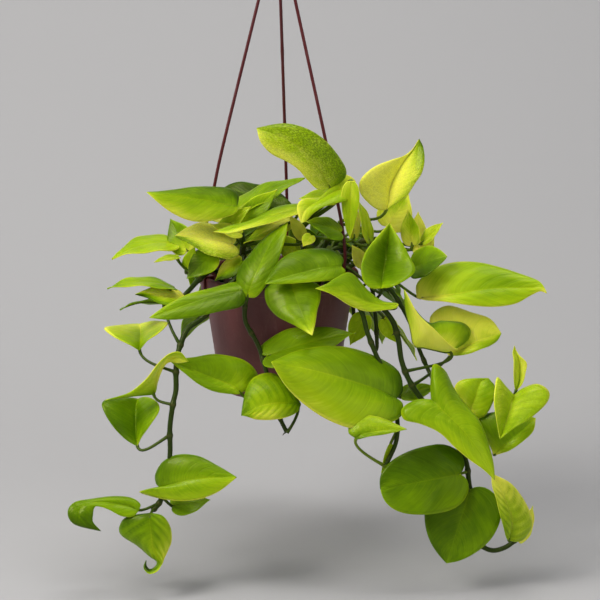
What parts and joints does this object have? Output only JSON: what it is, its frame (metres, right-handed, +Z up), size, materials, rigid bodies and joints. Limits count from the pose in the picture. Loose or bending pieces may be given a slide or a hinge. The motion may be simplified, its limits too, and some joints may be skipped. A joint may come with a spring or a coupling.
{
  "type": "potted pothos plant in a hanging pot",
  "caption": "Golden pothos in a brown plastic hanging pot: a full crown of lime-green leaves, vines trailing over the rim, and a three-arm hanger with a hook.",
  "frame": {"origin": "the seat inside the hanger's hook, where the rod or ceiling hook that carries the pot touches it, straight above the middle of the pot", "axes": "+Z up, +X to the right of the pictured view, +Y away from the viewer"},
  "size_m": [0.4782, 0.326, 0.6691],
  "materials": {
    "pot_plastic": "moulded maroon-brown plastic with a soft satin sheen",
    "hanger_plastic": "dark red-brown moulded plastic, slightly glossy",
    "potting_soil": "dark crumbly potting soil with bark and perlite",
    "pothos_leaf": "waxy lime-green leaves, lighter and yellower when young, on dark green stems"
  },
  "bodies": {
    "root": {"pot": "pot_plastic", "soil": "potting_soil", "hook_hub": "hanger_plastic", "hanger_arm_back": "hanger_plastic", "hanger_arm_left": "hanger_plastic", "hanger_arm_right": "hanger_plastic", "vine_left_long": "pothos_leaf", "vine_left_short": "pothos_leaf", "vine_front_left": "pothos_leaf", "vine_front": "pothos_leaf", "vine_right_mid": "pothos_leaf", "vine_right_long": "pothos_leaf", "vine_right_outer": "pothos_leaf", "vine_right_upper": "pothos_leaf", "crown_left": "pothos_leaf", "crown_left_front": "pothos_leaf", "crown_top": "pothos_leaf", "crown_right": "pothos_leaf", "crown_right_back": "pothos_leaf", "vine_back_1": "pothos_leaf", "vine_back_2": "pothos_leaf", "vine_back_3": "pothos_leaf", "vine_back_4": "pothos_leaf", "vine_back_5": "pothos_leaf"}
  },
  "joints": []
}
